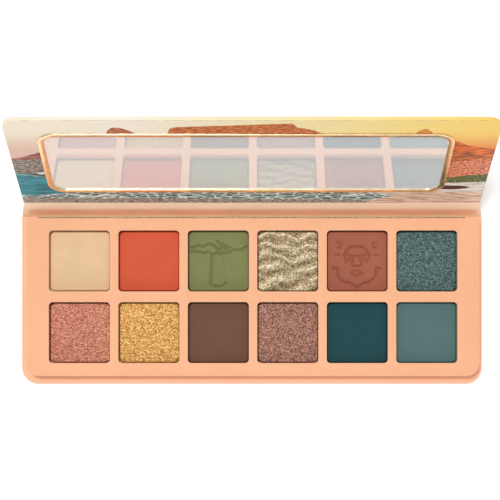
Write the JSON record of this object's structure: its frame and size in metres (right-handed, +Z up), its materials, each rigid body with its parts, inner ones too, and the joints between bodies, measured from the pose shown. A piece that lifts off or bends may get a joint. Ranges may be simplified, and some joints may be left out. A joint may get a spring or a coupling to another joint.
{
  "type": "eyeshadow palette",
  "caption": "Paperboard eyeshadow palette with square pans of pressed powder, a book-style spine hinge and a lid with a rimmed mirror",
  "frame": {"origin": "the middle of the flat underside, where the palette rests on a table", "axes": "+X to the right across the palette, +Y back towards the hinge, +Z up"},
  "size_m": [0.1708, 0.094, 0.0666],
  "materials": {
    "cover_paper": "matte coated paper, peach",
    "tray_paper": "matte coated paper, peach",
    "hinge_lining_paper": "matte paper, light tan",
    "printed_lining": null,
    "greyboard": "raw recycled board",
    "pan_tinplate": "bright tinplate",
    "dried_glue": "dried hot-melt and paste",
    "magnet": "nickel-plated magnet",
    "foam_tape": "thin foam tape",
    "mirror_glass": "silvered glass",
    "gold_rim": "polished gold tone",
    "powder_beige": "matte pressed powder, beige",
    "powder_orange": "matte pressed powder, orange red",
    "powder_olive": "matte pressed powder, olive, embossed",
    "powder_dune_gold": "glittery pressed powder, champagne, embossed ripples",
    "powder_terracotta": "matte pressed powder, terracotta, embossed",
    "powder_teal_glitter": "glittery pressed powder, teal",
    "powder_rose": "shimmer pressed powder, rose copper",
    "powder_gold": "glittery pressed powder, gold",
    "powder_brown": "matte pressed powder, brown",
    "powder_mauve": "shimmer pressed powder, mauve brown",
    "powder_deep_teal": "matte pressed powder, deep teal",
    "powder_grey_teal": "matte pressed powder, grey teal"
  },
  "bodies": {
    "base": {"base_wrap": "cover_paper", "base_board": "greyboard", "tray_glue_sheet": "dried_glue", "tray_floor_board": "greyboard", "tray_pocket_board": "greyboard", "tray_window_board": "greyboard", "tray_wrap": "tray_paper", "tray_magnets": "magnet", "pan_glue_dots": "dried_glue", "pan_rear_1": "pan_tinplate", "pan_rear_2": "pan_tinplate", "pan_rear_3": "pan_tinplate", "pan_rear_4": "pan_tinplate", "pan_rear_5": "pan_tinplate", "pan_rear_6": "pan_tinplate", "pan_front_1": "pan_tinplate", "pan_front_2": "pan_tinplate", "pan_front_3": "pan_tinplate", "pan_front_4": "pan_tinplate", "pan_front_5": "pan_tinplate", "pan_front_6": "pan_tinplate", "powder_beige": "powder_beige", "powder_orange": "powder_orange", "powder_olive": "powder_olive", "powder_dune_gold": "powder_dune_gold", "powder_terracotta": "powder_terracotta", "powder_teal_glitter": "powder_teal_glitter", "powder_rose": "powder_rose", "powder_gold": "powder_gold", "powder_brown": "powder_brown", "powder_mauve": "powder_mauve", "powder_deep_teal": "powder_deep_teal", "powder_grey_teal": "powder_grey_teal", "lower_hinge_paper": "cover_paper", "lower_hinge_lining": "hinge_lining_paper"},
    "spine": {"spine_wrap": "cover_paper", "spine_board": "greyboard", "spine_lining": "hinge_lining_paper", "upper_hinge_paper": "cover_paper", "upper_hinge_lining": "printed_lining"},
    "lid": {"lid_wrap": "printed_lining", "lid_outer_board": "greyboard", "lid_inner_board": "greyboard", "lid_lining": "printed_lining", "lid_magnets": "magnet", "mirror_tape": "foam_tape", "mirror": "mirror_glass", "mirror_rim": "gold_rim"}
  },
  "joints": [
    {"name": "spine_fold", "type": "hinge", "parent": "base", "child": "spine", "pos_m": [0, 0.0321, 0], "axis": [-1, 0, 0], "range_deg": [-25.5, 64.5], "deforming": ["lower_hinge_paper", "lower_hinge_lining"]},
    {"name": "lid_fold", "type": "hinge", "parent": "spine", "child": "lid", "pos_m": [0, 0.03628, 0.00876], "axis": [-1, 0, 0], "range_deg": [-89, 1], "deforming": ["upper_hinge_paper", "upper_hinge_lining"]}
  ]
}
